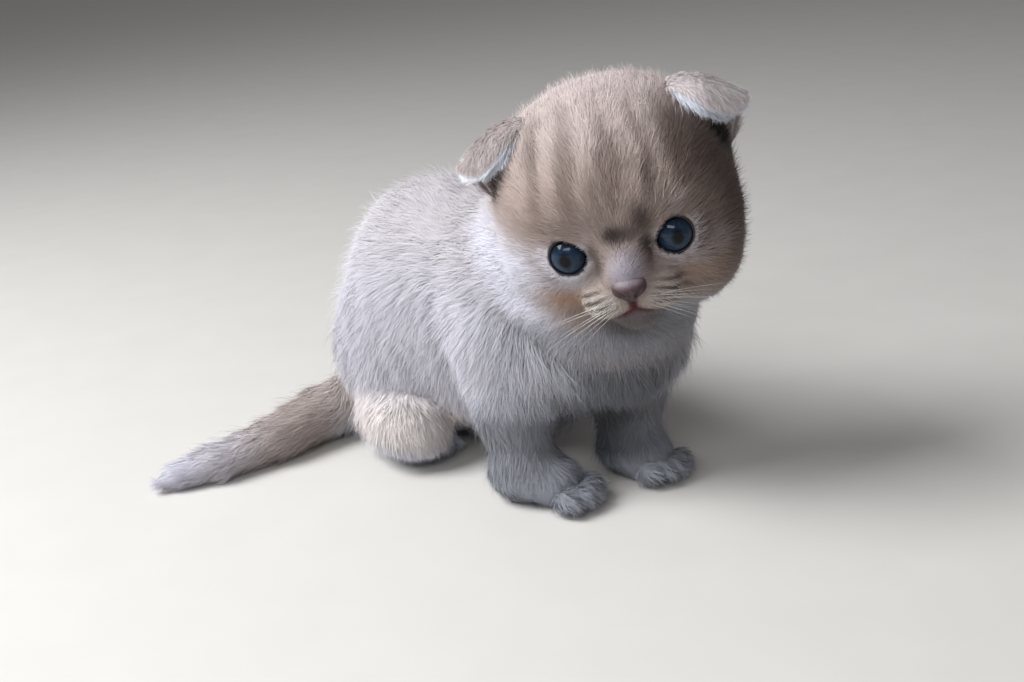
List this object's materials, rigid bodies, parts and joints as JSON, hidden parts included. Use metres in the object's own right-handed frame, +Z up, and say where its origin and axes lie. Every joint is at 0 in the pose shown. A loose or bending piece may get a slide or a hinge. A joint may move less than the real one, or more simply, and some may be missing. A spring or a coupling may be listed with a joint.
{
  "type": "scottish fold kitten",
  "caption": "Still life-size model of a seated fold-eared kitten with its head turned to one side and its tail laid out on the floor.",
  "frame": {"origin": "on the floor under the middle of the kitten's box", "axes": "+Z up, the kitten's body faces -Y and its left side is +X"},
  "size_m": [0.1308, 0.1522, 0.118],
  "materials": {
    "coat": "short dense lilac-grey and taupe fur",
    "ear_skin": "thin soft skin under short fur",
    "nose_leather": "moist mauve skin",
    "eye": "wet blue-grey eye with a dark pupil"
  },
  "bodies": {
    "root": {"head": "coat", "nose": "nose_leather", "ear_left": "ear_skin", "ear_right": "ear_skin", "eye_left": "eye", "eye_right": "eye", "neck": "coat", "chest": "coat", "abdomen": "coat", "foreleg_left": "coat", "foreleg_right": "coat", "forepaw_left": "coat", "forepaw_right": "coat", "hindleg_left": "coat", "hindleg_right": "coat", "hindpaw_left": "coat", "hindpaw_right": "coat", "tail_root": "coat", "tail_middle": "coat", "tail_tip": "coat"}
  },
  "joints": []
}
